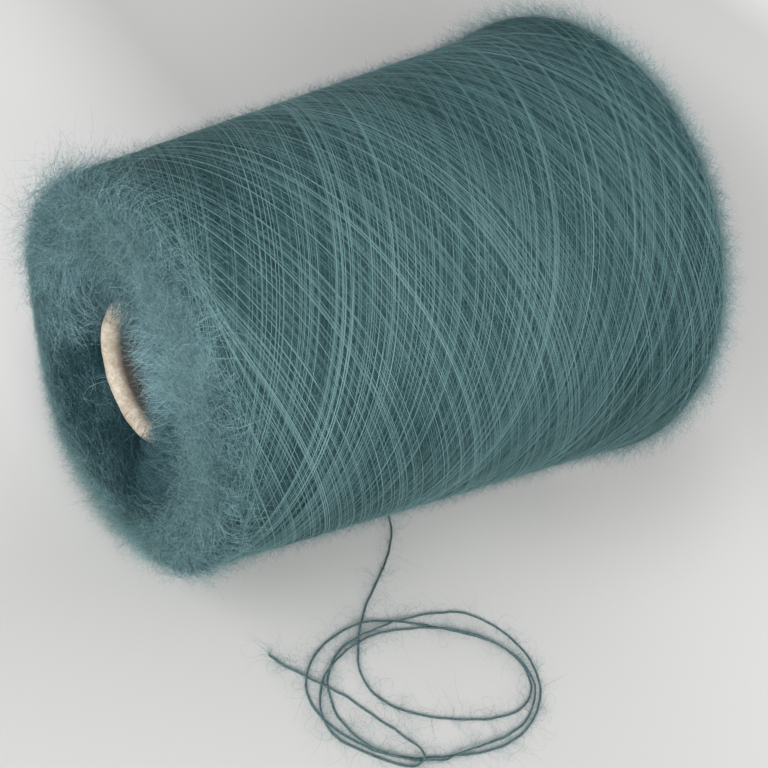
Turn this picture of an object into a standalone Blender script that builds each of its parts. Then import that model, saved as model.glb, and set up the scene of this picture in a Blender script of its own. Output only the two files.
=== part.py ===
"""Yarn cone lying on its side: a paper cone tube, the yarn wound on it, and the loose tail of the yarn.

Metres, +Z up. The cone lies along X with its nose towards -X, and the floor is z = 0. The origin is the centre
of the floor rectangle under the tube and the winding. Each turned piece is drawn standing on its base, with z = 0
at the nose end of the winding, and an empty lays it down, so that the winding rests on a line of its side.
"""

import math

import bmesh
import bpy
from mathutils import Vector

# Driving dimensions of the winding, in metres
WINDING_LENGTH = 0.154          # along the axis, from end plane to end plane
NOSE_END_RADIUS = 0.050         # the side line's radius at the nose end plane
BASE_END_RADIUS = 0.0685        # the side line's radius at the base end plane
FLAT_DEPTH = 0.0010             # how far the soft side is pressed flat where it rests

# Soft ends of the winding: radius and height of the crest, depth of the shoulder and of the seat on the tube
NOSE_END = {"crest": 0.0370, "rise": 0.0016, "shoulder": 0.0036, "seat": 0.0090}
BASE_END = {"crest": 0.0550, "rise": 0.0016, "shoulder": 0.0038, "seat": 0.0050}

# Driving dimensions of the paper cone tube
TUBE_LENGTH = 0.166
TUBE_NOSE_RADIUS = 0.0193
TUBE_TAPER = math.radians(5.95)
TUBE_WALL = 0.0030
NOSE_RECESS = 0.0054            # the nose lies this far inside the winding's end plane
LIP_WIDTH = 0.0048              # the rolled nose, across its ring
LIP_HEIGHT = 0.0060             # and along the axis
LIP_RUNOUT = 0.0060             # from the lip to the plain wall, inside

SEAT_GAP = 0.0003               # between the winding and the tube

# The loose tail
YARN_DIAMETER = 0.0006
LONG_STEP = 0.0125              # a longer stretch between two route points gets one more point

TURN_STEPS = 64                 # facets around each turned piece
ARC_STEPS = 6                   # facets along each quarter arc
MERGE = 0.00001

# The tail's route from under the winding to its free end, chosen by hand. It lies on the floor in three loops
# and passes over itself in low humps.
TAIL_ROUTE = [
    (0.0110, -0.0165, 0.0004), (0.0075, -0.0280, 0.0004), (0.0041, -0.0385, 0.0004), (0.0010, -0.0440, 0.0004),
    (-0.0050, -0.0498, 0.0004), (-0.0148, -0.0565, 0.0004), (-0.0243, -0.0624, 0.0004),
    (-0.0310, -0.0684, 0.0004), (-0.0372, -0.0760, 0.0004), (-0.0387, -0.0836, 0.0004),
    (-0.0345, -0.0918, 0.0004), (-0.0250, -0.0992, 0.0004), (-0.0125, -0.1056, 0.0004),
    (-0.0021, -0.1082, 0.0004), (0.0070, -0.1060, 0.0004), (0.0109, -0.0993, 0.0004), (0.0090, -0.0905, 0.0004),
    (0.0020, -0.0832, 0.0004), (-0.0080, -0.0758, 0.0004), (-0.0185, -0.0694, 0.0004),
    (-0.0288, -0.0660, 0.0011), (-0.0400, -0.0661, 0.0004), (-0.0495, -0.0696, 0.0004),
    (-0.0553, -0.0755, 0.0004), (-0.0565, -0.0830, 0.0004), (-0.0517, -0.0940, 0.0004),
    (-0.0430, -0.1028, 0.0004), (-0.0315, -0.1083, 0.0004), (-0.0190, -0.1130, 0.0004),
    (-0.0075, -0.1144, 0.0004), (0.0040, -0.1116, 0.0004), (0.0118, -0.1052, 0.0004), (0.0147, -0.0962, 0.0004),
    (0.0124, -0.0858, 0.0004), (0.0050, -0.0764, 0.0004), (-0.0080, -0.0715, 0.0005),
    (-0.0170, -0.0700, 0.0011), (-0.0325, -0.0692, 0.0011), (-0.0425, -0.0713, 0.0004),
    (-0.0492, -0.0775, 0.0004), (-0.0520, -0.0860, 0.0004), (-0.0500, -0.0957, 0.0011),
    (-0.0430, -0.1034, 0.0011), (-0.0330, -0.1089, 0.0011), (-0.0225, -0.1106, 0.0010),
    (-0.0090, -0.1125, 0.0004), (0.0025, -0.1106, 0.0004), (0.0095, -0.1045, 0.0011), (0.0106, -0.0960, 0.0011),
    (0.0048, -0.0860, 0.0011), (-0.0050, -0.0782, 0.0011), (-0.0165, -0.0730, 0.0005),
    (-0.0250, -0.0709, 0.0008), (-0.0340, -0.0706, 0.0011), (-0.0466, -0.0737, 0.0011),
    (-0.0513, -0.0771, 0.0004), (-0.0564, -0.0842, 0.0011), (-0.0560, -0.0902, 0.0005),
    (-0.0500, -0.0986, 0.0004), (-0.0425, -0.1060, 0.0005), (-0.0396, -0.1070, 0.0011),
    (-0.0377, -0.1064, 0.0020), (-0.0369, -0.1040, 0.0015), (-0.0382, -0.0990, 0.0004),
    (-0.0432, -0.0890, 0.0004), (-0.0470, -0.0815, 0.0006), (-0.0502, -0.0776, 0.0012),
    (-0.0540, -0.0725, 0.0011), (-0.0572, -0.0672, 0.0004), (-0.0593, -0.0629, 0.0004),
]

# Colours are linear RGB
YARN_COLOUR = (0.085, 0.175, 0.180, 1.0)
PAPER_COLOUR = (0.560, 0.480, 0.375, 1.0)

WINDING_TAPER = math.atan((BASE_END_RADIUS - NOSE_END_RADIUS) / WINDING_LENGTH)


def winding_radius(depth):
    """Radius of the winding's side line, depth being measured from the nose end plane towards the base."""
    return NOSE_END_RADIUS + depth * math.tan(WINDING_TAPER)


def tube_radius(depth):
    """Outer radius of the tube at the same depth."""
    return TUBE_NOSE_RADIUS + (depth - NOSE_RECESS) * math.tan(TUBE_TAPER)


def arc(centre, radii, start, end):
    """Points (radius, depth) of an elliptical arc, its angles in degrees from the outward radius."""
    points = []
    for step in range(ARC_STEPS + 1):
        angle = math.radians(start + (end - start) * step / ARC_STEPS)
        points.append((centre[0] + radii[0] * math.cos(angle), centre[1] - radii[1] * math.sin(angle)))
    return points


def winding_outline():
    """Closed outline of the winding, from the nose crest out, down the side and back up along the tube."""
    rise, shoulder, seat = NOSE_END["rise"], NOSE_END["shoulder"], NOSE_END["seat"]
    crest, rim = NOSE_END["crest"], winding_radius(shoulder)
    seat_radius = tube_radius(seat) + SEAT_GAP
    nose_shoulder = arc((crest, shoulder), (rim - crest, rise + shoulder), 90, 0)
    nose_dish = arc((crest, seat), (crest - seat_radius, rise + seat), 180, 90)

    rise, shoulder = BASE_END["rise"], WINDING_LENGTH - BASE_END["shoulder"]
    seat = WINDING_LENGTH - BASE_END["seat"]
    crest, rim = BASE_END["crest"], winding_radius(shoulder)
    seat_radius = tube_radius(seat) + SEAT_GAP
    base_shoulder = arc((crest, shoulder), (rim - crest, rise + WINDING_LENGTH - shoulder), 0, -90)
    base_dish = arc((crest, seat), (crest - seat_radius, rise + WINDING_LENGTH - seat), -90, -180)
    return nose_shoulder + base_shoulder + base_dish[1:] + nose_dish[:-1]


def tube_outline():
    """Closed outline of the tube, from the top of its rolled nose down the outside and back up the inside."""
    lip_half = LIP_WIDTH / 2
    lip_middle = TUBE_NOSE_RADIUS - lip_half
    lip_centre = NOSE_RECESS + LIP_HEIGHT / 2
    outer_lip = arc((lip_middle, lip_centre), (lip_half, LIP_HEIGHT / 2), 90, 0)
    inner_lip = arc((lip_middle, lip_centre), (lip_half, LIP_HEIGHT / 2), 180, 90)
    runout = NOSE_RECESS + LIP_HEIGHT + LIP_RUNOUT
    base = NOSE_RECESS + TUBE_LENGTH
    wall = [
        (tube_radius(lip_centre), lip_centre),
        (tube_radius(base), base),
        (tube_radius(base) - TUBE_WALL, base),
        (tube_radius(runout) - TUBE_WALL, runout),
        (lip_middle - lip_half, NOSE_RECESS + LIP_HEIGHT),
    ]
    return outer_lip[:-1] + wall + inner_lip[:-1]


def floor_reach(outline):
    """Lowest and highest X that a turned outline reaches when it lies down, from the nose end plane's centre."""
    ends = []
    for radius, depth in outline:
        ends.append(depth * math.cos(WINDING_TAPER) - radius * math.sin(WINDING_TAPER))
        ends.append(depth * math.cos(WINDING_TAPER) + radius * math.sin(WINDING_TAPER))
    return min(ends), max(ends)


def make_material(name, colour, roughness):
    material = bpy.data.materials.new(name)
    material.use_nodes = True
    shader = material.node_tree.nodes["Principled BSDF"]
    shader.inputs["Base Color"].default_value = colour
    shader.inputs["Roughness"].default_value = roughness
    shader.inputs["Metallic"].default_value = 0.0
    material.diffuse_color = colour
    return material


def make_turned(name, outline, collection, parent, material):
    """Turned piece: the outline in the XZ plane with a Screw modifier about Z."""
    mesh = bpy.data.meshes.new(name)
    work = bmesh.new()
    corners = [work.verts.new((radius, 0.0, -depth)) for radius, depth in outline]
    for first, second in zip(corners, corners[1:] + corners[:1]):
        work.edges.new((first, second))
    work.to_mesh(mesh)
    work.free()
    piece = bpy.data.objects.new(name, mesh)
    collection.objects.link(piece)
    piece.parent = parent
    turn = piece.modifiers.new("turn", "SCREW")
    turn.axis = "Z"
    turn.angle = math.tau
    turn.steps = TURN_STEPS
    turn.render_steps = TURN_STEPS
    turn.use_merge_vertices = True
    turn.merge_threshold = MERGE
    turn.use_smooth_shade = True
    mesh.materials.append(material)
    return piece


def make_floor_cutter(collection):
    """Block whose top is the floor, wider and longer than the winding."""
    thickness = 4 * FLAT_DEPTH
    bpy.ops.mesh.primitive_cube_add(size=1.0, location=(0.0, 0.0, -thickness / 2))
    cutter = bpy.context.active_object
    cutter.name = "floor_cutter"
    cutter.dimensions = (2 * (WINDING_LENGTH + BASE_END_RADIUS), 2 * BASE_END_RADIUS, thickness)
    bpy.ops.object.transform_apply(location=False, rotation=False, scale=True)
    for other in list(cutter.users_collection):
        other.objects.unlink(cutter)
    collection.objects.link(cutter)
    cutter.hide_render = True
    cutter.display_type = "WIRE"
    return cutter


def press_flat(piece, cutter):
    """Cut the strip on which the piece rests."""
    cut = piece.modifiers.new("rest_flat", "BOOLEAN")
    cut.operation = "DIFFERENCE"
    cut.solver = "EXACT"
    cut.object = cutter


def route_step(before, start, end, after, share):
    """Point at a share of the way from start to end, on a centripetal Catmull-Rom curve."""
    knots = [0.0]
    for first, second in ((before, start), (start, end), (end, after)):
        knots.append(knots[-1] + math.sqrt((second - first).length))
    here = knots[1] + (knots[2] - knots[1]) * share

    def blend(first, second, low, high):
        return first.lerp(second, (here - knots[low]) / (knots[high] - knots[low]))

    left = blend(before, start, 0, 1)
    middle = blend(start, end, 1, 2)
    right = blend(end, after, 2, 3)
    return blend(blend(left, middle, 0, 2), blend(middle, right, 1, 3), 1, 2)


def smooth_route(route):
    """Points on the smooth curve through a route: one at each route point, and one in each long stretch."""
    points = [Vector(point) for point in route]
    padded = [2 * points[0] - points[1]] + points + [2 * points[-1] - points[-2]]
    smooth = [points[0]]
    for index in range(len(points) - 1):
        before, start, end, after = padded[index:index + 4]
        steps = 2 if (end - start).length > LONG_STEP else 1
        for step in range(1, steps + 1):
            point = route_step(before, start, end, after, step / steps)
            point.z = max(point.z, YARN_DIAMETER / 2)
            smooth.append(point)
    return smooth


def make_tail(collection, material):
    """The loose yarn as a round curve on the floor."""
    points = smooth_route(TAIL_ROUTE)
    curve = bpy.data.curves.new("yarn_tail", "CURVE")
    curve.dimensions = "3D"
    curve.bevel_depth = YARN_DIAMETER / 2
    curve.bevel_resolution = 2
    curve.use_fill_caps = True
    spline = curve.splines.new("POLY")
    spline.points.add(len(points) - 1)
    for spot, point in zip(spline.points, points):
        spot.co = (point.x, point.y, point.z, 1.0)
    spline.use_smooth = True
    tail = bpy.data.objects.new("yarn_tail", curve)
    collection.objects.link(tail)
    curve.materials.append(material)
    return tail


def build():
    for leftover in list(bpy.data.objects):
        bpy.data.objects.remove(leftover, do_unlink=True)
    parts = bpy.data.collections.new("yarn_cone")
    cutters = bpy.data.collections.new("cutters")
    bpy.context.scene.collection.children.link(parts)
    bpy.context.scene.collection.children.link(cutters)

    winding = winding_outline()
    tube = tube_outline()
    reaches = floor_reach(winding) + floor_reach(tube)
    middle = (min(reaches) + max(reaches)) / 2
    lying = bpy.data.objects.new("lying_axis", None)
    parts.objects.link(lying)
    lying.location = (-middle, 0.0, NOSE_END_RADIUS * math.cos(WINDING_TAPER) - FLAT_DEPTH)
    lying.rotation_euler = (0.0, -(math.pi / 2 + WINDING_TAPER), 0.0)

    make_turned("paper_cone", tube, parts, lying, make_material("paper_cone", PAPER_COLOUR, 0.85))
    package = make_turned("yarn_package", winding, parts, lying, make_material("yarn_package", YARN_COLOUR, 0.95))
    press_flat(package, make_floor_cutter(cutters))
    make_tail(parts, make_material("yarn_tail", YARN_COLOUR, 0.9))


build()
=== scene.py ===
"""Looks of the yarn cone: a cross-wound package of mohair on its paper tube, on its side, and its loose tail.

Metres, in the row frame. Sizes, the camera, the winding's skin and the materials come first, then the tail,
the winding's body, its wound threads, its matted fibre and fuzz, the paper cone, and last the stage.
"""

import math

import bpy
import numpy as np
from mathutils import Matrix, Vector


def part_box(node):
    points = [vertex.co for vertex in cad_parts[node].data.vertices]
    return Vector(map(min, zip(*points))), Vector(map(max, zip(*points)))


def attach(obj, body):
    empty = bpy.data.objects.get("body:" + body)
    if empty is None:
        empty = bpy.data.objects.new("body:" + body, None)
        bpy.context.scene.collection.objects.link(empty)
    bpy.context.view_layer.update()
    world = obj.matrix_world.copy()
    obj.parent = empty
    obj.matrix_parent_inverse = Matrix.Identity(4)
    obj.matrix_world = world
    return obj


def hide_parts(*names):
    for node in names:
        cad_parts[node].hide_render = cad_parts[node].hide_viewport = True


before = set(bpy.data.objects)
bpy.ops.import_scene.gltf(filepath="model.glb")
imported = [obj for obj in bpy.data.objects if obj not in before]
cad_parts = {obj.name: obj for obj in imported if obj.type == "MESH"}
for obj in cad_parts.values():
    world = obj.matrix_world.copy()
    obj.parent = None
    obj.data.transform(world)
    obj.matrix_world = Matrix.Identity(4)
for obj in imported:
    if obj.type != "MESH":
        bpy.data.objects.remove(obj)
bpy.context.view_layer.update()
SCENE = bpy.context.scene
SEED = 20411

# ------------------------------------------------------------
# Sizes that part.py sets too, in metres
# ------------------------------------------------------------
WINDING_LENGTH = 0.154
NOSE_END_RADIUS = 0.050
BASE_END_RADIUS = 0.0685
FLAT_DEPTH = 0.0010
NOSE_END = {"crest": 0.0370, "rise": 0.0016, "shoulder": 0.0036, "seat": 0.0090}
BASE_END = {"crest": 0.0550, "rise": 0.0016, "shoulder": 0.0038, "seat": 0.0050}
TUBE_LENGTH = 0.166
TUBE_NOSE_RADIUS = 0.0193
TUBE_TAPER = math.radians(5.95)
TUBE_WALL = 0.0030
NOSE_RECESS = 0.0054
LIP_WIDTH = 0.0048
LIP_HEIGHT = 0.0060
YARN_DIAMETER = 0.0006
SEAT_GAP = 0.0003       # between the tube and the winding

TAPER = math.atan((BASE_END_RADIUS - NOSE_END_RADIUS) / WINDING_LENGTH)
AXIS = np.array([math.cos(TAPER), 0.0, math.sin(TAPER)])       # from the nose end to the base end
RAISED = np.array([-math.sin(TAPER), 0.0, math.cos(TAPER)])    # across the axis, upwards
ACROSS = np.array([0.0, 1.0, 0.0])


def around_axis(angles):
    """Unit vectors across the axis, at angles from its upper side."""
    return np.cos(angles)[..., None] * RAISED + np.sin(angles)[..., None] * ACROSS


def from_axis(depth, radius, angles):
    """Points at a depth along the axis, from the nose plane, and at a radius and an angle around it."""
    return NOSE_PLANE + depth[..., None] * AXIS + radius[..., None] * around_axis(angles)


def tube_radius(depth):
    return TUBE_NOSE_RADIUS + (depth - NOSE_RECESS) * math.tan(TUBE_TAPER)


TUBE_END = NOSE_RECESS + TUBE_LENGTH
tube_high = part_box("paper_cone")[1]
nose_plane_x = tube_high.x - TUBE_END * math.cos(TAPER) - tube_radius(TUBE_END) * math.sin(TAPER)
NOSE_PLANE = np.array([nose_plane_x, 0.0, NOSE_END_RADIUS * math.cos(TAPER) - FLAT_DEPTH])

# ------------------------------------------------------------
# Camera
# ------------------------------------------------------------
CAMERA_PLACE = (-0.22574, -0.15070, 0.25558)
CAMERA_RIGHT = Vector((0.72069, -0.57153, 0.39239))
CAMERA_UP = Vector((0.20892, 0.71874, 0.66315))
CAMERA_LENS = 54.72

camera_data = bpy.data.cameras.new("camera")
camera_data.lens = CAMERA_LENS
camera_data.sensor_width = 36.0
camera_data.clip_start = 0.01
camera_data.clip_end = 20.0
camera = bpy.data.objects.new("camera", camera_data)
SCENE.collection.objects.link(camera)
camera_back = CAMERA_RIGHT.cross(CAMERA_UP)
camera.matrix_world = Matrix.Translation(CAMERA_PLACE) @ Matrix(
    (CAMERA_RIGHT, CAMERA_UP, camera_back)).transposed().to_4x4()
SCENE.camera = camera


# ------------------------------------------------------------
# Mesh helpers
# ------------------------------------------------------------
# Painted shade and a painted highlight across each thread, on its map
EDGE_PAINTED_SHADE = 0.36       # how much darker a thread is at its edges, on its map
RIDGE_PAINTED_HIGHLIGHT = 0.10      # and how much lighter along its middle
UV_HALF = 0.012         # half the width that a ribbon takes in its map


def new_mesh(name, points, faces, uv=None, smooth=True):
    """Object from an array of points and one of faces, all with the same number of corners."""
    mesh = bpy.data.meshes.new(name)
    corners = faces.shape[1]
    mesh.vertices.add(len(points))
    mesh.vertices.foreach_set("co", np.ascontiguousarray(points, np.float32).ravel())
    mesh.loops.add(faces.size)
    mesh.loops.foreach_set("vertex_index", np.ascontiguousarray(faces, np.int32).ravel())
    mesh.polygons.add(len(faces))
    mesh.polygons.foreach_set("loop_start", np.arange(0, faces.size, corners, dtype=np.int32))
    mesh.polygons.foreach_set("use_smooth", np.full(len(faces), smooth))
    mesh.update(calc_edges=True)
    if uv is not None:
        layer = mesh.uv_layers.new(name="OFBake")
        corner_uv = uv if len(uv) == faces.size else uv[faces.ravel()]
        layer.data.foreach_set("uv", np.ascontiguousarray(corner_uv, np.float32).ravel())
    piece = bpy.data.objects.new(name, mesh)
    SCENE.collection.objects.link(piece)
    return piece


def unit(vectors):
    return vectors / np.maximum(np.linalg.norm(vectors, axis=-1, keepdims=True), 1e-12)


def ribbons(paths, across, widths, shade, along):
    """Points, quads and UVs of flat ribbons. across holds the unit vectors over the width of each path."""
    count, steps = paths.shape[:2]
    half = across * widths[..., None] / 2
    points = np.stack([paths - half, paths + half], axis=2).reshape(-1, 3)
    first = (np.arange(count)[:, None] * steps + np.arange(steps - 1)[None, :]) * 2
    faces = np.stack([first, first + 1, first + 3, first + 2], axis=-1).reshape(-1, 4)
    u = np.stack([along, along], axis=2)
    shade = np.repeat(shade[:, None], steps, 1)
    v = np.stack([shade - UV_HALF, shade + UV_HALF], axis=2)
    return points, faces, np.stack([u, v], axis=-1).reshape(-1, 2)


def ridges(paths, ups, widths, shade, along):
    """Points, quads and UVs of threads as low roofs, each with painted shade in its map towards its two edges
    and a painted highlight along its middle.
    """
    count, steps = paths.shape[:2]
    tangents = unit(np.gradient(paths, axis=1))
    sideways = unit(np.cross(tangents, ups))
    half = widths[..., None] / 2
    rows = [paths - sideways * half - ups * half * 0.5, paths + ups * half * 0.5,
            paths + sideways * half - ups * half * 0.5]
    points = np.stack(rows, axis=2).reshape(-1, 3)
    first = (np.arange(count)[:, None] * steps + np.arange(steps - 1)[None, :]) * 3
    first = first[:, :, None] + np.arange(2)
    faces = np.stack([first, first + 1, first + 4, first + 3], axis=-1).reshape(-1, 4)
    u = np.repeat(along[:, :, None], 3, 2)
    v = np.clip(shade[:, :, None] + np.array([-EDGE_PAINTED_SHADE, RIDGE_PAINTED_HIGHLIGHT, -EDGE_PAINTED_SHADE]), 0.01, 0.99)
    return points, faces, np.stack([u, v], axis=-1).reshape(-1, 2)


# ------------------------------------------------------------
# The winding's skin, as a line turned about the axis
# ------------------------------------------------------------
SKIN_STEP = 0.0004
SMOOTHING = 9           # steps of the skin over which its slope is averaged


def quarter(centre, radii, start, end):
    """Points on a quarter of an ellipse, from one angle to another, in degrees."""
    angles = np.radians(np.linspace(start, end, 41))
    return np.stack([centre[0] + radii[0] * np.cos(angles), centre[1] - radii[1] * np.sin(angles)], axis=1)


def smoothed(values):
    return np.convolve(np.pad(values, SMOOTHING // 2, mode="edge"), np.ones(SMOOTHING) / SMOOTHING, "valid")


def side_radius(depth):
    return NOSE_END_RADIUS + depth * math.tan(TAPER)


def skin_line():
    """(radius, depth) points from the nose seat over the nose crest, down the side and to the base seat."""
    crest, rise, shoulder, seat = (NOSE_END[key] for key in ("crest", "rise", "shoulder", "seat"))
    seat_radius, rim = tube_radius(seat), side_radius(shoulder)
    nose = [quarter((crest, seat), (crest - seat_radius, rise + seat), 180, 90),
            quarter((crest, shoulder), (rim - crest, rise + shoulder), 90, 0)]
    crest, rise, seat = BASE_END["crest"], BASE_END["rise"], WINDING_LENGTH - BASE_END["seat"]
    shoulder = WINDING_LENGTH - BASE_END["shoulder"]
    seat_radius, rim = tube_radius(seat), side_radius(shoulder)
    base = [quarter((crest, shoulder), (rim - crest, rise + WINDING_LENGTH - shoulder), 0, -90),
            quarter((crest, seat), (crest - seat_radius, rise + WINDING_LENGTH - seat), -90, -180)]
    line = np.vstack(nose + base)
    line = line[np.r_[True, np.linalg.norm(np.diff(line, axis=0), axis=1) > 1e-6]]
    reach = np.r_[0, np.cumsum(np.linalg.norm(np.diff(line, axis=0), axis=1))]
    places = np.arange(0, reach[-1], SKIN_STEP)
    return places, np.interp(places, reach, line[:, 0]), np.interp(places, reach, line[:, 1])


SKIN, SKIN_RADIUS, SKIN_DEPTH = skin_line()
slope_radius = smoothed(np.gradient(SKIN_RADIUS, SKIN))
slope_depth = smoothed(np.gradient(SKIN_DEPTH, SKIN))
slope_size = np.hypot(slope_radius, slope_depth)
OUT_RADIUS, OUT_DEPTH = slope_depth / slope_size, -slope_radius / slope_size
NOSE_CREST_AT = SKIN[np.argmin(SKIN_DEPTH)]
BASE_CREST_AT = SKIN[np.argmax(SKIN_DEPTH)]
SKIN_AREA = np.cumsum(SKIN_RADIUS) * SKIN_STEP * math.tau
NOSE_SIDE = NOSE_CREST_AT + 0.012       # where the side starts
BASE_SIDE = BASE_CREST_AT - 0.012       # and where it ends
NOSE_RIM_AT = NOSE_CREST_AT + 0.013
NOSE_WEAR, NOSE_WEAR_REACH = 0.0022, 0.009
BASE_SWELL, BASE_SWELL_REACH = 0.0024, 0.010
# How far the points of each are kept off the floor
SKIN_FLOOR, BODY_FLOOR, STRAND_FLOOR = 0.0004, 0.0006, 0.0003
between = (SKIN >= NOSE_CREST_AT) & (SKIN <= BASE_CREST_AT)
SIDE_DEPTHS, SIDE_PLACES = SKIN_DEPTH[between], SKIN[between]


def outwards(places, angles):
    """Unit vectors out of the skin."""
    radius, depth = np.interp(places, SKIN, OUT_RADIUS), np.interp(places, SKIN, OUT_DEPTH)
    return radius[..., None] * around_axis(angles) + depth[..., None] * AXIS


def bell(angles, middle, width):
    """1 at an angle around the axis, in degrees, and falling off to 0 on both its sides."""
    away = (angles - math.radians(middle) + math.pi) % math.tau - math.pi
    return np.exp(-(away / math.radians(width)) ** 2)


def on_skin(places, angles, heights, floor=SKIN_FLOOR):
    """Points at a height over the skin, kept off the floor.

    The nose rim is worn down on its far side, and the base rim swollen at its top and near lower side."""
    worn = np.maximum(bell(angles, 124, 34), bell(angles, 188, 30))
    worn = worn * np.exp(-((places - NOSE_RIM_AT) / NOSE_WEAR_REACH) ** 2)
    swollen = np.maximum(bell(angles, 42, 40), 0.6 * bell(angles, -92, 30))
    swollen = swollen * np.exp(-((places - BASE_SIDE) / BASE_SWELL_REACH) ** 2)
    heights = heights - NOSE_WEAR * worn + BASE_SWELL * swollen
    radius = np.interp(places, SKIN, SKIN_RADIUS) + heights * np.interp(places, SKIN, OUT_RADIUS)
    depth = np.interp(places, SKIN, SKIN_DEPTH) + heights * np.interp(places, SKIN, OUT_DEPTH)
    points = from_axis(depth, radius, angles)
    points[..., 2] = np.maximum(points[..., 2], floor)
    return points


def drift(points, reach, seed, waves=28):
    """Smooth random value of about -1 to 1 over space, which changes over the reach in metres."""
    rng = np.random.default_rng(SEED + seed)
    total = np.zeros(points.shape[:-1])
    for _ in range(waves):
        direction = unit(rng.normal(0, 1, 3)) * math.tau / (reach * rng.uniform(1.2, 2.8))
        total += np.sin(points @ direction + rng.uniform(0, math.tau))
    return total / math.sqrt(waves / 2) / 1.5


# ------------------------------------------------------------
# Materials
# ------------------------------------------------------------
PITCH = 0.138           # of the wound threads, along the axis for each turn
MEAN_RADIUS = 0.059     # of the side
WIND_ANGLE = math.atan(PITCH / (math.tau * MEAN_RADIUS))
SKIN_SHARE = 0.9        # of the body's map that its skin takes
# Dark and light, and dark, middle and light
MASS_DARK, MASS_LIGHT = (0.007, 0.026, 0.030), (0.070, 0.155, 0.163)
THREAD_SHADES = (0.006, 0.025, 0.029), (0.063, 0.151, 0.160), (0.302, 0.512, 0.522)
HAIR_SHADES = (0.011, 0.041, 0.048), (0.070, 0.158, 0.169), (0.235, 0.390, 0.400)
FLUFF_SHADES = (0.009, 0.037, 0.046), (0.076, 0.165, 0.190), (0.298, 0.482, 0.530)


def new_material(name, roughness, specular=0.5):
    material = bpy.data.materials.new(name)
    material.use_nodes = True
    nodes, links = material.node_tree.nodes, material.node_tree.links
    shader = nodes["Principled BSDF"]
    shader.inputs["Roughness"].default_value = roughness
    shader.inputs["Specular IOR Level"].default_value = specular
    return material, nodes, links, shader


def ramp(nodes, links, value, stops):
    """Colour output of a ramp that a value runs along."""
    node = nodes.new("ShaderNodeValToRGB")
    while len(node.color_ramp.elements) < len(stops):
        node.color_ramp.elements.new(0.5)
    for element, (place, colour) in zip(node.color_ramp.elements, stops):
        element.position = place
        element.color = (*colour, 1.0)
    links.new(value, node.inputs["Fac"])
    return node.outputs["Color"]


def math_node(nodes, links, operation, first, second=None, third=None, clamp=False):
    """Output of a Math node. Each input is a number or another node's output."""
    node = nodes.new("ShaderNodeMath")
    node.operation = operation
    node.use_clamp = clamp
    for socket, value in zip(node.inputs, (first, second, third)):
        if value is None:
            continue
        if isinstance(value, (int, float)):
            socket.default_value = value
        else:
            links.new(value, socket)
    return node.outputs[0]


def noise_node(nodes, links, vector, scale, detail=4.0, roughness=0.55, distortion=0.0):
    node = nodes.new("ShaderNodeTexNoise")
    node.inputs["Scale"].default_value = scale
    node.inputs["Detail"].default_value = detail
    node.inputs["Roughness"].default_value = roughness
    node.inputs["Distortion"].default_value = distortion
    links.new(vector, node.inputs["Vector"])
    return node.outputs["Fac"]


def map_place(nodes):
    """Places on the piece's own map."""
    node = nodes.new("ShaderNodeUVMap")
    node.uv_map = "OFBake"
    return node.outputs["UV"]


def add_relief(nodes, links, shader, height, strength, distance):
    node = nodes.new("ShaderNodeBump")
    node.inputs["Strength"].default_value = strength
    node.inputs["Distance"].default_value = distance
    links.new(height, node.inputs["Height"])
    links.new(node.outputs["Normal"], shader.inputs["Normal"])


def strand_material(name, shades, roughness, streak=0.25, streaks_along=40.0):
    """Yarn or hair. Its map runs upwards from dark strands to light ones, and streaks vary them."""
    dark, middle, light = shades
    material, nodes, links, shader = new_material(name, roughness, 0.25)
    place = map_place(nodes)
    split = nodes.new("ShaderNodeSeparateXYZ")
    links.new(place, split.inputs[0])
    streaks = noise_node(nodes, links, place, streaks_along, 3.0, 0.5)
    spread = math_node(nodes, links, "MULTIPLY_ADD", streaks, streak, -streak / 2)
    total = math_node(nodes, links, "ADD", split.outputs["Y"], spread, clamp=True)
    colour = ramp(nodes, links, total, [(0.0, dark), (0.5, middle), (1.0, light)])
    links.new(colour, shader.inputs["Base Color"])
    shader.inputs["Specular Tint"].default_value = (0.55, 0.90, 0.92, 1.0)
    return material


def streak_noise(nodes, links, vector, turn, size):
    """Noise drawn out into streaks that run at an angle on the unrolled skin."""
    place = nodes.new("ShaderNodeMapping")
    place.inputs["Rotation"].default_value = (0.0, 0.0, turn)
    place.inputs["Scale"].default_value = size
    links.new(vector, place.inputs["Vector"])
    return noise_node(nodes, links, place.outputs["Vector"], 1.0, 3.0, 0.6)


def mass_material():
    """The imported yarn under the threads: streaks of two thread directions and a grain of short fibre."""
    material, nodes, links, shader = new_material("winding_mass", 0.95, 0.1)
    unrolled = nodes.new("ShaderNodeVectorMath")
    unrolled.operation = "MULTIPLY"
    # In millimetres
    unrolled.inputs[1].default_value = (math.tau * MEAN_RADIUS * 1000, SKIN[-1] * 1000 / SKIN_SHARE, 1.0)
    links.new(map_place(nodes), unrolled.inputs[0])
    out = unrolled.outputs["Vector"]
    one = streak_noise(nodes, links, out, WIND_ANGLE, (0.12, 2.6, 1.0))
    other = streak_noise(nodes, links, out, -WIND_ANGLE, (0.12, 2.6, 1.0))
    grain = noise_node(nodes, links, out, 2.2, 3.0, 0.7, 1.5)
    both = math_node(nodes, links, "ADD", one, other)
    total = math_node(nodes, links, "MULTIPLY_ADD", grain, 0.8, both)
    shade = math_node(nodes, links, "MULTIPLY", total, 0.36)
    links.new(ramp(nodes, links, shade, [(0.34, MASS_DARK), (0.62, MASS_LIGHT)]), shader.inputs["Base Color"])
    add_relief(nodes, links, shader, total, 0.9, 0.0003)
    return material


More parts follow.
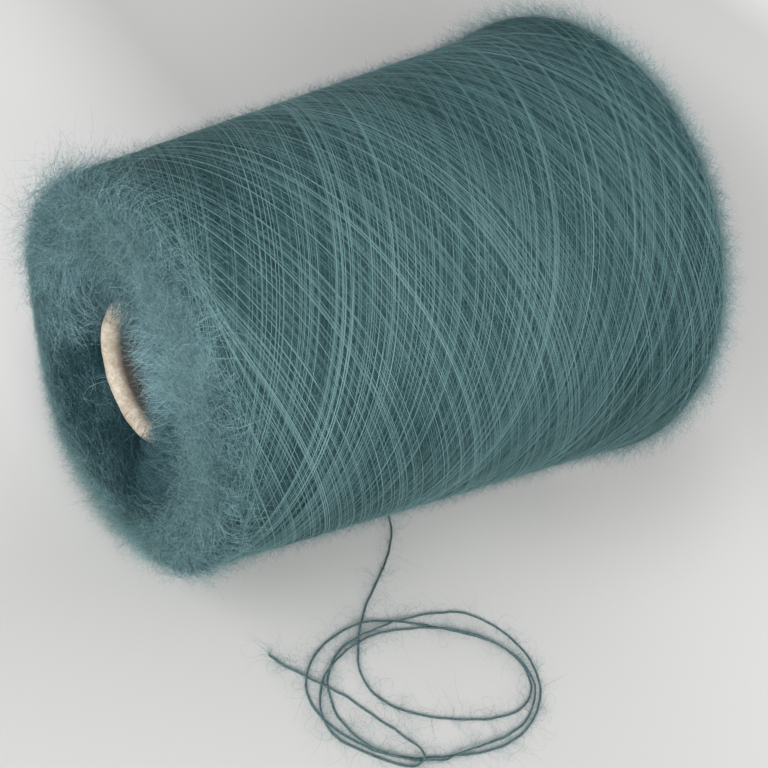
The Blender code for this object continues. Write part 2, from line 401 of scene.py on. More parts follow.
def yarn_material():
    """The loose yarn: a fine dark strand with lighter fibre in it."""
    material, nodes, links, shader = new_material("loose_yarn", 0.9, 0.1)
    place = nodes.new("ShaderNodeTexCoord")
    fibre = noise_node(nodes, links, place.outputs["Object"], 1500.0, 5.0, 0.6)
    colour = ramp(nodes, links, fibre, [(0.35, (0.042, 0.084, 0.090)), (0.68, (0.160, 0.245, 0.255))])
    links.new(colour, shader.inputs["Base Color"])
    add_relief(nodes, links, shader, fibre, 1.0, 0.0001)
    return material


thread_material = strand_material("wound_yarn", THREAD_SHADES, 0.42, 0.60, 100.0)
hair_material = strand_material("mohair_fibre", HAIR_SHADES, 0.45)
fluff_material = strand_material("mohair_fluff", FLUFF_SHADES, 0.45)
body_material = mass_material()


# ------------------------------------------------------------
# The loose tail, on the route of its CAD solid
# ------------------------------------------------------------
TAIL_ROUTE = [
    (0.0110, -0.0165, 0.0004), (0.0075, -0.0280, 0.0004), (0.0041, -0.0385, 0.0004),
    (0.0010, -0.0440, 0.0004), (-0.0050, -0.0498, 0.0004), (-0.0148, -0.0565, 0.0004),
    (-0.0243, -0.0624, 0.0004), (-0.0310, -0.0684, 0.0004), (-0.0372, -0.0760, 0.0004),
    (-0.0387, -0.0836, 0.0004), (-0.0345, -0.0918, 0.0004), (-0.0250, -0.0992, 0.0004),
    (-0.0125, -0.1056, 0.0004), (-0.0021, -0.1082, 0.0004), (0.0070, -0.1060, 0.0004),
    (0.0109, -0.0993, 0.0004), (0.0090, -0.0905, 0.0004), (0.0020, -0.0832, 0.0004),
    (-0.0080, -0.0758, 0.0004), (-0.0185, -0.0694, 0.0004), (-0.0288, -0.0660, 0.0011),
    (-0.0400, -0.0661, 0.0004), (-0.0495, -0.0696, 0.0004), (-0.0553, -0.0755, 0.0004),
    (-0.0565, -0.0830, 0.0004), (-0.0517, -0.0940, 0.0004), (-0.0430, -0.1028, 0.0004),
    (-0.0315, -0.1083, 0.0004), (-0.0190, -0.1130, 0.0004), (-0.0075, -0.1144, 0.0004),
    (0.0040, -0.1116, 0.0004), (0.0118, -0.1052, 0.0004), (0.0147, -0.0962, 0.0004),
    (0.0124, -0.0858, 0.0004), (0.0050, -0.0764, 0.0004), (-0.0080, -0.0715, 0.0005),
    (-0.0170, -0.0700, 0.0011), (-0.0325, -0.0692, 0.0011), (-0.0425, -0.0713, 0.0004),
    (-0.0492, -0.0775, 0.0004), (-0.0520, -0.0860, 0.0004), (-0.0500, -0.0957, 0.0011),
    (-0.0430, -0.1034, 0.0011), (-0.0330, -0.1089, 0.0011), (-0.0225, -0.1106, 0.0010),
    (-0.0090, -0.1125, 0.0004), (0.0025, -0.1106, 0.0004), (0.0095, -0.1045, 0.0011),
    (0.0106, -0.0960, 0.0011), (0.0048, -0.0860, 0.0011), (-0.0050, -0.0782, 0.0011),
    (-0.0165, -0.0730, 0.0005), (-0.0250, -0.0709, 0.0008), (-0.0340, -0.0706, 0.0011),
    (-0.0466, -0.0737, 0.0011), (-0.0513, -0.0771, 0.0004), (-0.0564, -0.0842, 0.0011),
    (-0.0560, -0.0902, 0.0005), (-0.0500, -0.0986, 0.0004), (-0.0425, -0.1060, 0.0005),
    (-0.0396, -0.1070, 0.0011), (-0.0377, -0.1064, 0.0020), (-0.0369, -0.1040, 0.0015),
    (-0.0382, -0.0990, 0.0004), (-0.0432, -0.0890, 0.0004), (-0.0470, -0.0815, 0.0006),
    (-0.0502, -0.0776, 0.0012), (-0.0540, -0.0725, 0.0011), (-0.0572, -0.0672, 0.0004),
    (-0.0593, -0.0629, 0.0004),
]
TAIL_WIGGLE = 0.00011
ROUTE_STEPS = 6         # points of the curve for each point of the route


def route_step(before, start, end, after, share):
    """Point at a share of the way from start to end, on a centripetal Catmull-Rom curve."""
    knots = [0.0]
    for first, second in ((before, start), (start, end), (end, after)):
        knots.append(knots[-1] + math.sqrt((second - first).length))
    here = knots[1] + (knots[2] - knots[1]) * share

    def blend(first, second, low, high):
        return first.lerp(second, (here - knots[low]) / (knots[high] - knots[low]))

    left = blend(before, start, 0, 1)
    middle = blend(start, end, 1, 2)
    right = blend(end, after, 2, 3)
    return blend(blend(left, middle, 0, 2), blend(middle, right, 1, 3), 1, 2)


def smooth_route(route, steps):
    points = [Vector(point) for point in route]
    padded = [2 * points[0] - points[1]] + points + [2 * points[-1] - points[-2]]
    smooth = [points[0]]
    for index in range(len(points) - 1):
        before, start, end, after = padded[index:index + 4]
        for step in range(1, steps + 1):
            point = route_step(before, start, end, after, step / steps)
            point.z = max(point.z, YARN_DIAMETER / 2)
            smooth.append(point)
    return np.array(smooth)


tail_points = smooth_route(TAIL_ROUTE, ROUTE_STEPS)
wiggle = [drift(tail_points[ROUTE_STEPS:-1], 0.0028, seed, 40) for seed in (80, 81)]
tail_points[ROUTE_STEPS:-1, :2] += TAIL_WIGGLE * np.stack(wiggle, axis=-1)
tail_curve = bpy.data.curves.new("loose_yarn", "CURVE")
tail_curve.dimensions = "3D"
tail_curve.bevel_depth = YARN_DIAMETER / 2
tail_curve.bevel_resolution = 2
tail_curve.use_fill_caps = True
tail_spline = tail_curve.splines.new("POLY")
tail_spline.points.add(len(tail_points) - 1)
tail_spline.points.foreach_set("co", np.c_[tail_points, np.ones(len(tail_points))].ravel())
tail_spline.use_smooth = True
tail = bpy.data.objects.new("loose_yarn", tail_curve)
SCENE.collection.objects.link(tail)
tail_curve.materials.append(yarn_material())
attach(tail, "root")
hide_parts("yarn_tail")


def tail_hairs(name, count, low, high, length, seed, shade):
    """Fine fibre that stands off the loose yarn, in tufts, and lies about it on the floor."""
    rng = np.random.default_rng(SEED + seed)
    reach = np.r_[0, np.cumsum(np.linalg.norm(np.diff(tail_points, axis=0), axis=1))]

    def on_tail(places):
        return np.stack([np.interp(places, reach, tail_points[:, axis]) for axis in range(3)], axis=-1)

    tufts = rng.uniform(low, high, max(count // 14, 1)) * reach[-1]
    at = np.where(rng.random(count) < 0.62, rng.choice(tufts, count) + rng.normal(0, 0.0035, count),
                  rng.uniform(low, high, count) * reach[-1])
    at = np.clip(at, 0, reach[-1])
    roots = on_tail(at)
    ahead = on_tail(np.minimum(at + 0.002, reach[-1])) - roots
    facing = np.arctan2(ahead[:, 1], ahead[:, 0]) + rng.choice([-1, 1], count) * rng.uniform(0.25, 1.5, count)
    lengths = length[0] + (length[1] - length[0]) * rng.random(count) ** 2.4
    steps = 12
    share = np.linspace(0, 1, steps)
    headings = (facing[:, None] + rng.normal(0, 2.2, count)[:, None] * share
                + rng.normal(0, 1.6, count)[:, None] * np.sin(share * 4.5))
    stride = lengths[:, None] / (steps - 1)
    moves = np.stack([np.cos(headings), np.sin(headings)], axis=-1) * stride[..., None]
    moves[:, 0] = 0
    flat = roots[:, None, :2] + np.cumsum(moves, axis=1)
    tops = rng.uniform(0, 0.0022, count)[:, None]
    rise = tops * np.sin(share * math.pi * rng.uniform(0.6, 1.0, count)[:, None])
    points = np.concatenate([flat, np.maximum(roots[:, 2:3] + rise, 0.0001)[..., None]], axis=-1)
    tangents = unit(np.gradient(points, axis=1))
    over = unit(np.cross(tangents, np.array([0.0, 0.0, 1.0])) + 1e-9)
    widths = 0.000040 * rng.uniform(0.6, 1.4, count)[:, None] * (1 - 0.6 * share ** 2)
    along = np.tile(share * 0.94 + 0.03, (count, 1))
    shades = np.clip(rng.normal(shade, 0.2, count), 0.03, 0.97)
    piece = new_mesh(name, *ribbons(points, over, widths, shades, along))
    piece.data.materials.append(hair_material)
    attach(piece, "root")
    return piece


fuzz = tail_hairs("tail_fuzz", 2400, 0.03, 1.0, (0.0015, 0.0150), 70, 0.84)
fray = tail_hairs("tail_fray", 70, 0.985, 1.0, (0.0030, 0.0120), 71, 0.72)


# ------------------------------------------------------------
# The winding's body, just under its threads
# ------------------------------------------------------------
BODY_SINK = 0.0006
BODY_TURNS = 256


def wound_body():
    """The winding's mass: its skin sunk a little, closed along the tube. The map is the skin unrolled."""
    # The rows of points are closer at the two ends than on the side
    places = np.concatenate([SKIN[SKIN < NOSE_CREST_AT + 0.020][::4],
                             np.arange(NOSE_CREST_AT + 0.022, BASE_CREST_AT - 0.020, 0.004),
                             SKIN[SKIN > BASE_CREST_AT - 0.020][::4]])
    turns = np.arange(BODY_TURNS)
    angles = math.pi + turns * math.tau / BODY_TURNS       # the map's seam is where the winding rests
    grid_places, grid_angles = np.meshgrid(places, angles, indexing="ij")
    level = on_skin(grid_places, grid_angles, np.full_like(grid_places, -BODY_SINK), BODY_FLOOR)
    lumps = 0.00018 * drift(level, 0.010, 1)
    points = on_skin(grid_places, grid_angles, lumps - BODY_SINK, BODY_FLOOR)
    inner_depths = np.linspace(WINDING_LENGTH - BASE_END["seat"], NOSE_END["seat"], 12)
    grid_depths, grid_angles = np.meshgrid(inner_depths, angles, indexing="ij")
    inner = from_axis(grid_depths, tube_radius(grid_depths) + SEAT_GAP, grid_angles)
    points = np.concatenate([points.reshape(-1, 3), inner.reshape(-1, 3)])
    total = len(places) + len(inner_depths)
    row, turn = np.meshgrid(np.arange(total), turns, indexing="ij")
    corners = [(row, turn), (row + 1, turn), (row + 1, turn + 1), (row, turn + 1)]
    faces = [(ring % total) * BODY_TURNS + spoke % BODY_TURNS for ring, spoke in corners]
    faces = np.stack(faces, axis=-1).reshape(-1, 4)
    closing = np.linspace(SKIN_SHARE, 1.0, len(inner_depths) + 1)
    across = np.concatenate([places / SKIN[-1] * SKIN_SHARE, closing])
    uv = [np.stack([spoke / BODY_TURNS, across[ring]], axis=-1) for ring, spoke in corners]
    return new_mesh("winding_body", points, faces, np.stack(uv, axis=2).reshape(-1, 2))


body = wound_body()
body.data.materials.append(body_material)
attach(body, "root")
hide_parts("yarn_package")

# ------------------------------------------------------------
# The wound threads
# ------------------------------------------------------------
THREAD_STEP = 0.0050
STEP_RADIUS = 0.062     # at which the step is measured
UNEVENNESS = 0.0175     # of the steps along a half pass
BASE_FADE = 0.08        # how much darker the threads get towards the base end, on their map
BASE_FADE_FROM, BASE_FADE_RUN = 0.075, 0.070
# Painted shade on the threads gets stronger towards the nose end by this much
NOSE_SHADE_GAIN = 0.9       # and how much stronger their tones get towards the nose end
NOSE_DEEPER_TO, NOSE_DEEPER_RUN = 0.055, 0.045


def thread_starts(count, rng):
    """Start angles of passes. They come in groups that lie side by side."""
    starts = []
    while len(starts) < count:
        size = int(rng.choice([1, 2, 3, 4, 5, 7], p=[0.26, 0.20, 0.20, 0.15, 0.11, 0.08]))
        angle, gap = rng.uniform(0, math.tau), rng.uniform(0.0016, 0.0048)
        for member in range(size):
            starts.append(angle + (member * gap + rng.normal(0, 0.0004)) / MEAN_RADIUS)
    return np.array(starts[:count])


def thread_paths(starts, rng):
    """Depths and angles of passes that run from the nose end to the base end and back, one row a pass."""
    count = len(starts)
    turn_nose, turn_base = rng.uniform(0.25, 0.75, count), rng.uniform(0.2, 0.6, count)
    end_nose = -0.0006 + 0.0060 * rng.random(count) ** 1.3
    end_base = WINDING_LENGTH + 0.0006 - 0.0050 * rng.random(count) ** 1.3
    rate = PITCH / math.tau * rng.normal(1.0, 0.018, count)
    span = end_base - end_nose
    # A half pass runs over these angles: a rounded turn, a straight run and another rounded turn
    run = (span - rate * (turn_nose + turn_base) / 2) / rate
    reach = turn_nose + run + turn_base
    share = np.linspace(0, 1, int(math.ceil(float(np.max(reach)) * STEP_RADIUS / THREAD_STEP)) + 1)
    swing = (share + UNEVENNESS * np.sin(2 * math.tau * share))[None, :] * reach[:, None]
    columns = (span, rate, turn_nose, turn_base, run)
    span, rate, turn_nose, turn_base, run = (value[:, None] for value in columns)

    def depth_at(angle):
        start_part = rate * angle ** 2 / (2 * turn_nose)
        straight = rate * (turn_nose / 2 + (angle - turn_nose))
        left = turn_nose + run + turn_base - angle
        end_part = span - rate * left ** 2 / (2 * turn_base)
        return np.where(angle < turn_nose, start_part, np.where(left < turn_base, end_part, straight))

    there, back = depth_at(swing), depth_at(reach[:, None] - swing)
    depths = end_nose[:, None] + np.concatenate([there, back[:, 1:]], axis=1)
    angles = starts[:, None] + np.concatenate([swing, reach[:, None] + swing[:, 1:]], axis=1)
    return depths, angles


def side_painted_shade(angles):
    """Painted shade: the side is darker towards its back and towards the floor, which get less light."""
    return -0.16 * bell(angles, 44, 40) - 0.08 * bell(angles, -98, 36)


def wound_threads(name, passes, heights, width, shades, seed):
    """A tier of wound threads. heights is a range, and shades holds a range for each kind of thread."""
    rng = np.random.default_rng(SEED + seed)
    depths, angles = thread_paths(thread_starts(passes, rng), rng)
    steps = depths.shape[1]
    places = np.interp(depths, SIDE_DEPTHS, SIDE_PLACES)
    knots = np.linspace(0, steps - 1, 16)

    def wander():
        """A slow random change along each pass."""
        values = rng.normal(0, 1, (passes, len(knots)))
        return np.array([np.interp(np.arange(steps), knots, row) for row in values])

    sway, waver = wander(), wander()
    level = heights[0] + (heights[1] - heights[0]) * rng.random(passes)[:, None] + 0.00007 * sway
    points = on_skin(places, angles + waver * 0.0022, level, STRAND_FLOOR)
    ups = outwards(places, angles)
    kinds = np.array(shades)[rng.choice(len(shades), passes)]
    shade = (kinds[:, 0] + (kinds[:, 1] - kinds[:, 0]) * rng.random(passes))[:, None] + 0.08 * sway
    near_nose = np.clip((NOSE_DEEPER_TO - depths) / NOSE_DEEPER_RUN, 0, 1)
    faded = np.clip((depths - BASE_FADE_FROM) / BASE_FADE_RUN, 0, 1)
    # Painted shade towards the side's back and the floor, stronger near the nose end
    shade = shade - BASE_FADE * faded + side_painted_shade(angles) * (1 + NOSE_SHADE_GAIN * near_nose)
    widths = width * rng.uniform(0.75, 1.25, passes)[:, None] * (1 + 0.12 * waver)
    along = np.tile(np.linspace(0.02, 0.98, steps)[None, :], (passes, 1))
    piece = new_mesh(name, *ridges(points, ups, widths, shade, along))
    piece.data.materials.append(thread_material)
    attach(piece, "root")
    return piece


# Passes, heights, width and shades of each tier, from the deepest threads to the ones that lie on top
# The deeper tiers are darker as painted shade under the threads over them, and the dark kinds among the upper
# tiers are painted shadow lines beside the lit threads
THREAD_TIERS = [
    (250, (-0.00045, -0.00020), 0.00026, [(0.04, 0.34)]),
    (220, (-0.00025, -0.00005), 0.00020, [(0.12, 0.52)]),
    (200, (-0.00010, 0.00010), 0.00016, [(0.30, 0.74), (0.04, 0.22)]),
    (190, (0.00005, 0.00025), 0.00013, [(0.70, 1.00), (0.45, 0.75), (0.04, 0.18)]),
    (120, (0.00015, 0.00042), 0.00012, [(0.84, 1.00)]),
]
for tier, (passes, heights, width, shades) in enumerate(THREAD_TIERS, start=1):
    wound_threads(f"wound_threads_{tier}", passes, heights, width, shades, tier + 1)


# ------------------------------------------------------------
# Hairs on the winding
# ------------------------------------------------------------
THREAD_HEADINGS = [side * (math.pi / 2 + tilt * WIND_ANGLE) for side in (-1, 1) for tilt in (-1, 1)]
MEEK_REACH = 0.014      # from the tube, where meek hairs stay low


def along_threads(points, rng):
    """Headings near those of the wound threads. A heading of 0 runs to the base end along the skin."""
    count = len(points)
    return np.array(THREAD_HEADINGS)[rng.integers(0, 4, count)] + rng.normal(0, 0.42, count)


def combed(reach, seed, spread=0.7):
    """Headings that swirl over the skin, as in fluff that was brushed about."""
    def heading(points, rng):
        return drift(points, reach, seed) * math.pi * 1.3 + rng.normal(0, spread, len(points))
    return heading


def skin_hairs(name, count, low, high, length, width, lift, seed, steps, shade, heading=None, curl=1.2,
               flat=0.35, clump=(0.010, 0.10), rise_power=1.6, root_height=(-0.0004, 0.0003), lift_power=2.0,
               shape=None, keep=None, tone=None, meek=False, material=hair_material):
    """Hairs rooted on the skin between two places. Each runs along the skin and rises by its own lift.

    Lengths and lifts are ranges, drawn towards the low end. shade is a mean and a spread, and clump the
    reach and strength of its slow change over the skin. shape(angles) scales the lift, keep(angles) is the
    share of the hairs that stay and tone(angles) adds to the shade. Meek hairs stay low beside the tube."""
    rng = np.random.default_rng(SEED + seed)
    area = np.interp([low, high], SKIN, SKIN_AREA)
    roots = np.interp(rng.uniform(area[0], area[1], count), SKIN_AREA, SKIN)
    angles = rng.uniform(0, math.tau, count)
    if keep is not None:
        kept = rng.random(count) < keep(angles)
        roots, angles = roots[kept], angles[kept]
        count = len(roots)
    root_points = on_skin(roots, angles, np.zeros(count))
    lengths = length[0] + (length[1] - length[0]) * rng.random(count) ** 1.5
    facing = rng.uniform(0, math.tau, count) if heading is None else heading(root_points, rng)
    share = np.linspace(0, 1, steps)
    bend, second = rng.normal(0, curl, count)[:, None], rng.normal(0, curl * 0.8, count)[:, None]
    headings = facing[:, None] + bend * share + second * np.sin(share * math.pi * 1.5)
    stride = lengths / (steps - 1)
    places, turns = np.empty((count, steps)), np.empty((count, steps))
    places[:, 0], turns[:, 0] = roots, angles
    for step in range(1, steps):
        reached = places[:, step - 1] + stride * np.cos(headings[:, step])
        places[:, step] = np.clip(reached, SKIN[0], SKIN[-1])
        radius = np.interp(places[:, step - 1], SKIN, SKIN_RADIUS)
        turns[:, step] = turns[:, step - 1] + stride * np.sin(headings[:, step]) / radius
    lifts = lift[0] + (lift[1] - lift[0]) * rng.random(count) ** lift_power
    if shape is not None:
        lifts = lifts * shape(angles)
    start = rng.uniform(root_height[0], root_height[1], count)
    wobble = rng.normal(0, 0.12, (count, steps)) * lifts[:, None]
    risen = lifts[:, None] * share ** rise_power + wobble * share
    if meek:
        risen = risen * np.clip(places / MEEK_REACH - 0.1, 0.0, 1.0)
    heights = start[:, None] + risen
    points = on_skin(places, turns, heights, STRAND_FLOOR)
    tangents = unit(np.gradient(points, axis=1))
    side = unit(np.cross(tangents, outwards(places, turns)))
    tilt = rng.normal(0, flat, count)[:, None, None]
    over = side * np.cos(tilt) + np.cross(tangents, side) * np.sin(tilt)
    widths = width * rng.uniform(0.6, 1.4, count)[:, None] * (1 - 0.75 * share ** 2)
    shades = rng.normal(shade[0], shade[1], count) + clump[1] * drift(root_points, clump[0], seed + 500)
    if tone is not None:
        shades = shades + tone(angles)
    along = np.tile(share * 0.94 + 0.03, (count, 1))
    piece = new_mesh(name, *ribbons(points, over, widths, np.clip(shades, 0.03, 0.97), along))
    piece.data.materials.append(material)
    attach(piece, "root")
    return piece


def nose_shape(angles):
    """The nose end's fluff stands high over its far shoulder and is pressed down beside and below it."""
    return 1.0 + 0.65 * bell(angles, 62, 28) - 0.75 * bell(angles, 118, 32) - 0.65 * bell(angles, 188, 32)


def nose_rim_shape(angles):
    """The fuzz of its rim is low on its far side and stands off below it."""
    return 0.85 - 0.60 * bell(angles, 105, 32) + 0.50 * bell(angles, 198, 40)


def nose_halo_shape(angles):
    return np.maximum(nose_shape(angles), 1.15 * bell(angles, 196, 44))


def nose_painted_light_and_shade(angles):
    """Painted light and shade on the nose end's fluff: lightest beside the near half of the bore, where it is
    thick and faces the light, and darkest low down and on its far side, which face away from it.
    """
    lightest = 0.50 * bell(angles, -36, 38) + 0.19 * bell(angles, 58, 32)
    return lightest - 0.60 * bell(angles, 212, 65) - 0.16 * bell(angles, 125, 36) - 0.10


def base_shape(angles):
    """The fuzz of the base rim stands off furthest at its top and at its near lower side."""
    return 0.9 + 0.3 * bell(angles, 42, 42) + 0.25 * bell(angles, -92, 28)


# Short matted fibre between the wound threads, darkened also as painted shade in the gaps, and a lighter
# fleece of it over them
for index in range(2):
    skin_hairs(f"side_mat_{index + 1}", 29000, NOSE_SIDE - 0.004, BASE_SIDE + 0.004, (0.0012, 0.0055),
               0.000105, (0.0000, 0.0003), 10 + index, steps=4, heading=along_threads, curl=1.3,
               shade=(0.25, 0.24), root_height=(-0.0004, 0.0001), tone=side_painted_shade)
skin_hairs("side_fleece", 33000, NOSE_SIDE - 0.004, BASE_SIDE + 0.004, (0.0012, 0.0045), 0.000058,
           (0.0000, 0.0005), 12, steps=4, heading=along_threads, curl=2.0, shade=(0.50, 0.30),
           root_height=(-0.0001, 0.0004), tone=side_painted_shade)
# Fine standing fuzz all over the side
for index in range(2):
    skin_hairs(f"side_fuzz_{index + 1}", 40000, NOSE_SIDE - 0.006, BASE_SIDE + 0.008, (0.0022, 0.0065),
               0.000028, (0.0010, 0.0042), 14 + index, steps=3, shade=(0.66, 0.15), flat=1.5,
               lift_power=1.3, rise_power=1.0, tone=side_painted_shade)
# Thick matted fluff on the nose end
for index in range(3):
    skin_hairs(f"nose_end_mat_{index + 1}", 18000, 0.0010, NOSE_SIDE, (0.003, 0.010), 0.000095,
               (0.0002, 0.0026), 20 + index, steps=5, heading=combed(0.012, 40), curl=1.4, shade=(0.36, 0.26),
               clump=(0.008, 0.42), flat=0.9, shape=nose_shape, tone=nose_painted_light_and_shade, meek=True,
               material=fluff_material)
# Longer fluff over it, and some that leans over the near side of the tube's nose
skin_hairs("nose_fluff", 10000, NOSE_CREST_AT - 0.013, NOSE_SIDE - 0.001, (0.006, 0.015), 0.000085,
           (0.0010, 0.0050), 33, steps=7, heading=combed(0.016, 41, 0.8), curl=1.2, shade=(0.86, 0.22),
           clump=(0.010, 0.50), flat=1.2, shape=nose_shape, tone=nose_painted_light_and_shade, material=fluff_material)
skin_hairs("nest_fluff", 15000, 0.005, NOSE_CREST_AT - 0.002, (0.006, 0.012), 0.000080, (0.0030, 0.0078), 34,
           steps=6, curl=0.9, shade=(0.56, 0.20), clump=(0.012, 0.15), flat=1.2, rise_power=1.0,
           lift_power=1.0, heading=lambda points, rng: math.pi + rng.normal(0, 0.6, len(points)),
           keep=lambda angles: bell(angles, -62, 62), tone=nose_painted_light_and_shade, material=fluff_material)
# Matted fluff on the base end, and longer fluff over it
for index in range(2):
    skin_hairs(f"base_end_mat_{index + 1}", 20000, BASE_SIDE, SKIN[-1] - 0.003, (0.003, 0.010), 0.000080,
               (0.0002, 0.0030), 26 + index, steps=5, heading=combed(0.012, 42), curl=1.5, shade=(0.66, 0.20),
               clump=(0.011, 0.20), flat=0.9, material=fluff_material)
skin_hairs("base_fluff", 9000, BASE_SIDE, BASE_CREST_AT + 0.013, (0.006, 0.014), 0.000080,
           (0.0010, 0.0044), 35, steps=6, heading=combed(0.016, 43, 0.8), curl=1.7, shade=(0.80, 0.16),
           clump=(0.012, 0.18), flat=1.2, material=fluff_material)
# Soft fuzz that stands off the rim of the base end, of the lightest hair colour as painted light for the glow
# of fuzz lit from behind
skin_hairs("base_rim_fuzz", 33000, BASE_SIDE - 0.003, BASE_CREST_AT + 0.001, (0.0045, 0.0105), 0.000045,
           (0.0030, 0.0078), 36, steps=4, shade=(0.96, 0.06), flat=1.5, lift_power=1.2, rise_power=1.0,
           shape=base_shape)
# And off the rim of the nose end, also of the lightest hair colour as painted light
skin_hairs("nose_rim_fuzz", 18000, NOSE_CREST_AT - 0.002, NOSE_SIDE - 0.002, (0.0030, 0.0080), 0.000042,
           (0.0015, 0.0052), 37, steps=4, shade=(0.96, 0.06), flat=1.5, lift_power=1.2, rise_power=1.0,
           shape=nose_rim_shape)
# Long wispy hairs around both ends
skin_hairs("nose_halo", 6000, NOSE_CREST_AT - 0.006, NOSE_SIDE + 0.006, (0.006, 0.016), 0.000055,
           (0.003, 0.0085), 30, steps=8, shade=(0.78, 0.14), flat=1.2, curl=1.6, rise_power=1.2,
           shape=nose_halo_shape)
skin_hairs("base_halo", 4200, BASE_SIDE - 0.006, BASE_CREST_AT + 0.006, (0.005, 0.013), 0.000050,
           (0.003, 0.0085), 31, steps=7, shade=(0.80, 0.14), flat=1.2, curl=1.6, rise_power=1.2,
           shape=base_shape)


# ------------------------------------------------------------
# Paper cone
# ------------------------------------------------------------
SEAM_PITCH = 0.30       # of the edge of the outer turn of paper, along the axis for each turn
PLY = 0.00042
# Painted shade on the tube's inside
INSIDE_SHADE_FROM = 0.0020    # in from the tube's nose, where the inside turns darker
INSIDE_SHADE_RISE = 450.0     # and how fast it does


def paper_material():
    """Rolled paper: fibrous and mottled, with a wound seam, plies on its cut edge and painted shade on its
    inside.
    """
    material, nodes, links, shader = new_material("rolled_paper", 0.62)
    place = nodes.new("ShaderNodeTexCoord").outputs["Object"]

    def vector_math(operation, first, second, output="Vector"):
        node = nodes.new("ShaderNodeVectorMath")
        node.operation = operation
        for socket, value in zip(node.inputs, (first, second)):
            if isinstance(value, tuple):
                socket.default_value = value
            else:
                links.new(value, socket)
        return node.outputs[output]

    def number(operation, *inputs, clamp=False):
        return math_node(nodes, links, operation, *inputs, clamp=clamp)

    from_nose = vector_math("SUBTRACT", place, tuple(NOSE_PLANE))
    depth = vector_math("DOT_PRODUCT", from_nose, tuple(AXIS), "Value")
    height = vector_math("DOT_PRODUCT", from_nose, tuple(RAISED), "Value")
    side = vector_math("DOT_PRODUCT", from_nose, tuple(ACROSS), "Value")
    radius = number("SQRT", number("ADD", number("MULTIPLY", height, height), number("MULTIPLY", side, side)))
    angle = number("ARCTAN2", side, height)
    wall = number("MULTIPLY_ADD", depth, math.tan(TUBE_TAPER),
                  TUBE_NOSE_RADIUS - NOSE_RECESS * math.tan(TUBE_TAPER) - TUBE_WALL / 2)
    start = NOSE_RECESS + INSIDE_SHADE_FROM
    deep_in = number("MULTIPLY_ADD", depth, INSIDE_SHADE_RISE, -INSIDE_SHADE_RISE * start, clamp=True)
    inside = number("MULTIPLY", number("LESS_THAN", radius, wall), deep_in, clamp=True)
    mottle = noise_node(nodes, links, place, 330.0, 5.0, 0.62, 0.4)
    fibre = noise_node(nodes, links, place, 1400.0, 4.0, 0.6, 1.2)
    total = number("MULTIPLY_ADD", fibre, 0.35, number("MULTIPLY", mottle, 0.65))
    stops = [(0.36, (0.400, 0.320, 0.240)), (0.50, (0.560, 0.480, 0.380)), (0.62, (0.720, 0.650, 0.550))]
    # The edge of the outer turn of paper runs about half way around the tube on its way to the base
    seam_angle = number("SUBTRACT", angle, number("MULTIPLY", depth, math.tau / SEAM_PITCH))
    seam = number("LESS_THAN", number("ABSOLUTE", number("SINE", number("MULTIPLY", seam_angle, 0.5))), 0.010)
    plies = number("MULTIPLY", number("SINE", number("MULTIPLY", radius, math.tau / PLY)),
                   number("GREATER_THAN", depth, TUBE_END - 0.0002))
    # Painted shade inside the tube, weaker towards the base end
    inside_painted_shade = number("MULTIPLY", inside, number("MULTIPLY_ADD", depth, -4.5, 0.95))
    lines = number("ADD", number("MULTIPLY", seam, 0.25), number("MULTIPLY", plies, 0.16))
    darker = number("ADD", inside_painted_shade, lines, clamp=True)
    # Near black, mixed in for the painted shade inside and for the seam and ply lines
    mix = nodes.new("ShaderNodeMix")
    mix.data_type = "RGBA"
    links.new(darker, mix.inputs["Factor"])
    links.new(ramp(nodes, links, total, stops), mix.inputs["A"])
    mix.inputs["B"].default_value = (0.030, 0.028, 0.025, 1.0)
    links.new(mix.outputs["Result"], shader.inputs["Base Color"])
    edges = number("ADD", number("MULTIPLY", plies, 0.3), seam)
    add_relief(nodes, links, shader, number("ADD", total, edges), 0.5, 0.0003)
    return material


paper = paper_material()
tube_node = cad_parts["paper_cone"]
tube_node.data.materials.clear()
tube_node.data.materials.append(paper)


def rolled_nose():
    """The paper's skin over the rolled nose, with the small pleats of its curl."""
    lip_half = LIP_WIDTH / 2
    middle, centre = TUBE_NOSE_RADIUS - lip_half, NOSE_RECESS + LIP_HEIGHT / 2
    around = np.radians(np.linspace(-38, 218, 44))
    turns = np.arange(512)
    angles = turns * math.tau / len(turns)
    grid_around, grid_angles = np.meshgrid(around, angles, indexing="ij")
    edge = np.sin(np.clip((grid_around - around[0]) / (around[-1] - around[0]), 0, 1) * math.pi)
    inner = np.clip((grid_around - math.pi / 2) / 1.2, 0, 1)
    pleats = np.sin(grid_angles * 61 + 2 * np.sin(grid_angles * 5)) * np.sin(grid_angles * 23 + 1.3)
    ring = np.stack([np.cos(angles) * 0.02, np.sin(angles) * 0.02, np.zeros(len(angles))], axis=-1)
    dents = drift(ring, 0.004, 60)[None, :] * 0.00010
    proud = -0.00004 + 0.00022 * np.minimum(edge * 4, 1) + edge * (dents + 0.00009 * pleats * (0.35 + inner))
    radius = middle + (lip_half + proud) * np.cos(grid_around)
    depth = centre - (LIP_HEIGHT / 2 + proud) * np.sin(grid_around)
    points = from_axis(depth, radius, grid_angles).reshape(-1, 3)
    row, turn = np.meshgrid(np.arange(len(around) - 1), turns, indexing="ij")
    after = (turn + 1) % len(turns)
    near, far = row * len(turns), (row + 1) * len(turns)
    faces = np.stack([near + turn, near + after, far + after, far + turn], axis=-1).reshape(-1, 4)
    piece = new_mesh("rolled_nose", points, faces)
    piece.data.materials.append(paper)
    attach(piece, "root")


rolled_nose()


